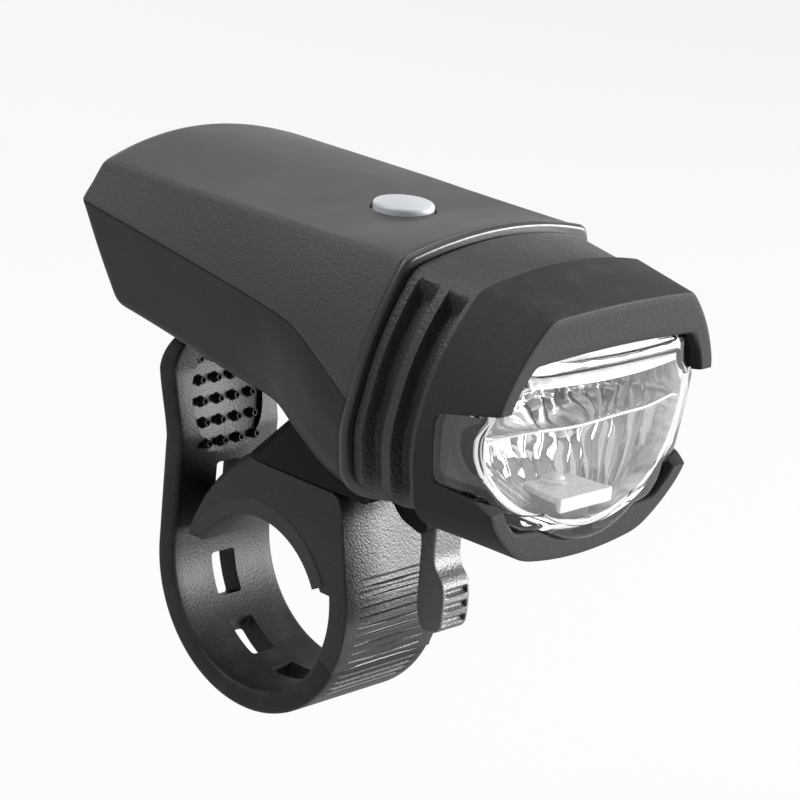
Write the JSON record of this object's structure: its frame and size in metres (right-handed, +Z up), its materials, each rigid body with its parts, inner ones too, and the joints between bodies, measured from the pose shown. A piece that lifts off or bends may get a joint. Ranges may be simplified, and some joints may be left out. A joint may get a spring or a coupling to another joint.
{
  "type": "bike headlight",
  "caption": "Rechargeable bicycle headlight with a faceted body, ribbed neck, hooded wrap-round lens and a quick-release handlebar strap clamp.",
  "frame": {"origin": "centre of the handlebar, in the middle of the clamp", "axes": "+X along the handlebar, -Y along the beam, +Z up"},
  "size_m": [0.045, 0.0856, 0.0784],
  "materials": {
    "bracket_plastic": "satin moulded black",
    "shoe_plastic": "satin moulded black",
    "lever_plastic": "satin moulded black",
    "strap_rubber": "satin soft plastic",
    "pad_rubber": "matte rubber",
    "seal_rubber": "matte rubber",
    "cover_rubber": "matte rubber",
    "screw_steel": "plain zinc",
    "top_plastic": "satin top with fine grain on the side facets",
    "body_plastic": "fine matte black",
    "rim_plastic": "semi-gloss black",
    "neck_plastic": "coarse grained black",
    "bezel_plastic": "satin black",
    "clear_lens": "clear polycarbonate",
    "reflector_chrome": "vacuum metallised",
    "light_board": "white solder mask",
    "led_phosphor": "translucent phosphor",
    "sink_aluminium": "die cast",
    "circuit_board": "green solder mask",
    "switch_body": "moulded black",
    "frosted_cap": "frosted translucent",
    "cell_wrap": "shrink-wrapped foil",
    "tray_plastic": "moulded grey",
    "tab_nickel": "nickel plated"
  },
  "bodies": {
    "saddle": {"clamp_saddle": "bracket_plastic", "saddle_pad": "pad_rubber", "pivot_screw": "screw_steel"},
    "strap": {"clamp_strap": "strap_rubber"},
    "shoe": {"mount_shoe": "shoe_plastic", "lever_pin": "screw_steel"},
    "lever": {"release_lever": "lever_plastic"},
    "lamp": {"mount_rail": "shoe_plastic", "rail_screws": "screw_steel", "upper_housing": "top_plastic", "lower_housing": "body_plastic", "housing_gasket": "seal_rubber", "housing_screws": "screw_steel", "rim_ring": "rim_plastic", "neck_housing": "neck_plastic", "front_bezel": "bezel_plastic", "front_lens": "clear_lens", "lens_seal": "seal_rubber", "reflector": "reflector_chrome", "led_board": "light_board", "led_emitter": "led_phosphor", "heat_sink": "sink_aluminium", "control_board": "circuit_board", "board_screws": "screw_steel", "tact_switch": "switch_body", "status_lights": "led_phosphor", "battery_cell": "cell_wrap", "battery_tray": "tray_plastic", "cell_tabs": "tab_nickel", "cell_pad": "pad_rubber", "charge_board": "circuit_board", "charge_port": "tab_nickel"},
    "button": {"button_cap": "frosted_cap", "switch_plunger": "switch_body"},
    "cover": {"port_cover": "cover_rubber"}
  },
  "joints": [
    {"name": "strap_hinge", "type": "hinge", "parent": "saddle", "child": "strap", "pos_m": [0, -0.01634, -0.00514], "axis": [-1, 0, 0], "range_deg": [0, 60]},
    {"name": "shoe_swivel", "type": "hinge", "parent": "saddle", "child": "shoe", "pos_m": [0, -0.004, 0.0207], "axis": [0, 0, 1], "range_deg": [-12, 12]},
    {"name": "lever_turn", "type": "hinge", "parent": "shoe", "child": "lever", "pos_m": [0, -0.0248, 0.0193], "axis": [1, 0, 0], "range_deg": [0, 15], "stiffness_Nm_per_rad": 0.02, "springref_deg": -11.46},
    {"name": "lamp_slide", "type": "slide", "parent": "shoe", "child": "lamp", "axis": [0, -1, 0], "range_m": [0, 0.025]},
    {"name": "button_press", "type": "slide", "parent": "lamp", "child": "button", "axis": [0, 0, -1], "range_m": [0, 0.0005], "stiffness_N_per_m": 1000, "springref_m": -0.0005},
    {"name": "cover_swing", "type": "hinge", "parent": "lamp", "child": "cover", "pos_m": [0, 0.02776, 0.04272], "axis": [-1, 0, 0], "range_deg": [0, 110]}
  ]
}
